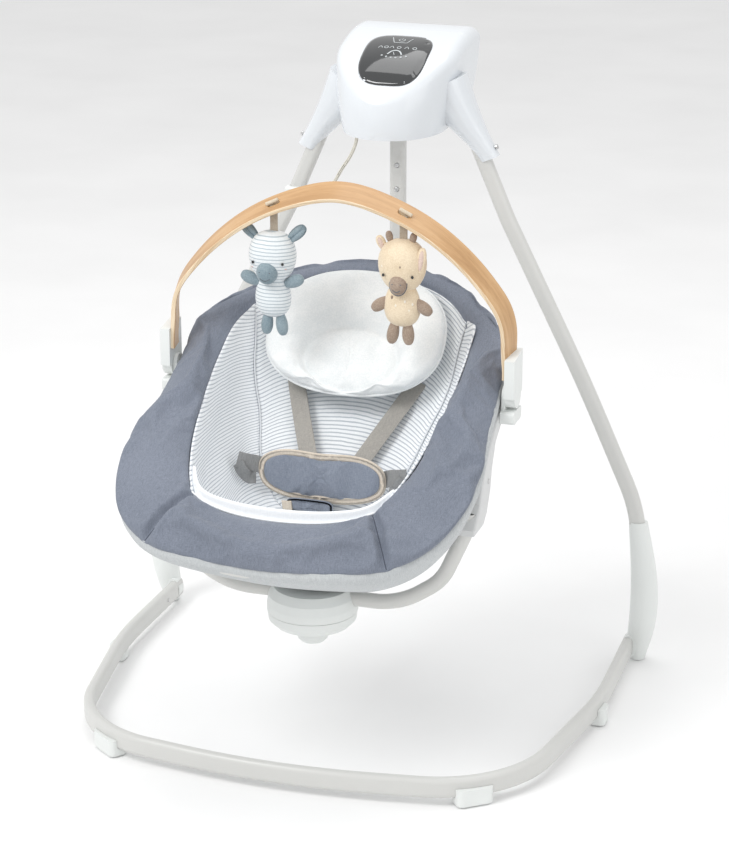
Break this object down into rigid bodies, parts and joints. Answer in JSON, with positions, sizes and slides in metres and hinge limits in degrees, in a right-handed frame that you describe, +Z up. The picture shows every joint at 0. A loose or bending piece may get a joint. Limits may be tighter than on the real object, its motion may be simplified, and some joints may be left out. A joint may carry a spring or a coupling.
{
  "type": "baby swing",
  "caption": "Free-standing baby swing: tubular frame, motor housing, pendulum arm, padded reclined seat on a swivel hub, harness, head insert and wooden toy bar",
  "frame": {"origin": "centre of the bounding box footprint, on the floor", "axes": "+Z up, -Y the foot end of the seat (front), +X the viewer's right from the front"},
  "size_m": [0.7712, 0.7062, 0.8822],
  "materials": {
    "frame_paint": "satin light warm grey powder coat",
    "white_moulding": "fine-textured white moulded plastic",
    "gloss_white": "glossy white moulded plastic",
    "grey_cover": "light grey moulded plastic",
    "panel_lens": "dark smoked glossy lens with pale icons",
    "steel": "bright zinc-plated steel",
    "inner_moulding": "dark engineering plastic",
    "coil_copper": "enamelled copper winding",
    "cell_wrap": "printed metal battery wrap without text",
    "board_green": "green circuit board laminate",
    "ring_fabric": "slate blue chambray weave, padded",
    "lap_fabric": "slate blue chambray weave with beige binding",
    "liner_fabric": "white knit with fine grey stripes",
    "sling_fabric": "light grey woven polyester",
    "insert_fabric": "soft white plush",
    "webbing": "taupe grey polyester webbing",
    "buckle_plastic": "grey acetal",
    "ply_wood": "bent beech plywood, clear satin lacquer",
    "toggle_fabric": "taupe cord toggle",
    "zebra_plush": "blue-grey and white striped plush",
    "giraffe_plush": "beige plush with pale spots",
    "lead_cream": "cream soft lead"
  },
  "bodies": {
    "frame": {"base_tube": "frame_paint", "leg_tube_left": "frame_paint", "leg_tube_right": "frame_paint", "leg_sleeve_left": "white_moulding", "leg_sleeve_right": "white_moulding", "front_feet": "white_moulding", "mid_feet": "white_moulding", "base_snap_buttons": "steel", "housing_front": "gloss_white", "housing_rear": "gloss_white", "control_panel": "panel_lens", "battery_door": "gloss_white", "battery_cells": "cell_wrap", "battery_springs": "steel", "pivot_bracket": "inner_moulding", "shaft_bushes": "inner_moulding", "drive_coil": "coil_copper", "circuit_board": "board_green", "speaker": "inner_moulding", "socket_screws": "steel", "rear_screws": "steel", "lead_gland": "white_moulding", "lead_clip": "white_moulding", "tether_lead": "lead_cream"},
    "swing_arm": {"swing_shaft": "steel", "arm_hanger": "inner_moulding", "arm_stub": "steel", "arm_tube": "frame_paint", "drive_magnet": "inner_moulding", "button_springs": "steel", "hub_cup": "white_moulding", "swivel_post": "steel", "knob_spring": "steel"},
    "upper_button": {"arm_button_upper": "steel"},
    "lower_button": {"arm_button_lower": "steel"},
    "swivel_knob": {"swivel_knob": "white_moulding"},
    "seat": {"hub_shell": "white_moulding", "seat_hoop": "frame_paint", "ring_tube": "frame_paint", "side_cover_left": "grey_cover", "side_cover_right": "grey_cover", "cover_screws": "steel", "seat_sling": "sling_fabric", "seat_liner": "liner_fabric", "ring_pad": "ring_fabric", "head_insert": "insert_fabric", "lap_pad": "lap_fabric", "shoulder_straps": "webbing", "waist_straps": "webbing", "crotch_strap": "webbing", "harness_buckle": "buckle_plastic", "bar_clip_left": "white_moulding", "bar_clip_right": "white_moulding"},
    "buckle_button": {"buckle_button": "buckle_plastic"},
    "toy_bar": {"toy_bar": "ply_wood", "bar_socket_left": "white_moulding", "bar_socket_right": "white_moulding", "toy_toggles": "toggle_fabric"},
    "zebra_toy": {"zebra_toy": "zebra_plush"},
    "giraffe_toy": {"giraffe_toy": "giraffe_plush"}
  },
  "joints": [
    {"name": "pendulum", "type": "hinge", "parent": "frame", "child": "swing_arm", "pos_m": [0, 0.252, 0.792], "axis": [0, 1, 0], "range_deg": [-12, 12]},
    {"name": "upper_button_press", "type": "slide", "parent": "swing_arm", "child": "upper_button", "axis": [0, 1, 0], "range_m": [0, 0.0015], "stiffness_N_per_m": 400},
    {"name": "lower_button_press", "type": "slide", "parent": "swing_arm", "child": "lower_button", "axis": [0, 1, 0], "range_m": [0, 0.0015], "stiffness_N_per_m": 400},
    {"name": "knob_pull", "type": "slide", "parent": "swing_arm", "child": "swivel_knob", "axis": [0, 0, -1], "range_m": [0, 0.003], "stiffness_N_per_m": 900, "springref_m": -0.001},
    {"name": "seat_swivel", "type": "hinge", "parent": "swing_arm", "child": "seat", "pos_m": [0, -0.13, 0.2], "axis": [0, 0, 1], "range_deg": [-90, 90]},
    {"name": "buckle_press", "type": "slide", "parent": "seat", "child": "buckle_button", "axis": [0, 1, 0], "range_m": [0, 0.0015], "stiffness_N_per_m": 500},
    {"name": "toy_bar_tilt", "type": "hinge", "parent": "seat", "child": "toy_bar", "pos_m": [0, -0.016, 0.476], "axis": [1, 0, 0], "range_deg": [0, 50]},
    {"name": "zebra_swing", "type": "hinge", "parent": "toy_bar", "child": "zebra_toy", "pos_m": [-0.088, -0.016, 0.7012], "axis": [1, 0, 0], "range_deg": [-12, 12]},
    {"name": "giraffe_swing", "type": "hinge", "parent": "toy_bar", "child": "giraffe_toy", "pos_m": [0.088, -0.016, 0.7012], "axis": [1, 0, 0], "range_deg": [-12, 12]}
  ]
}
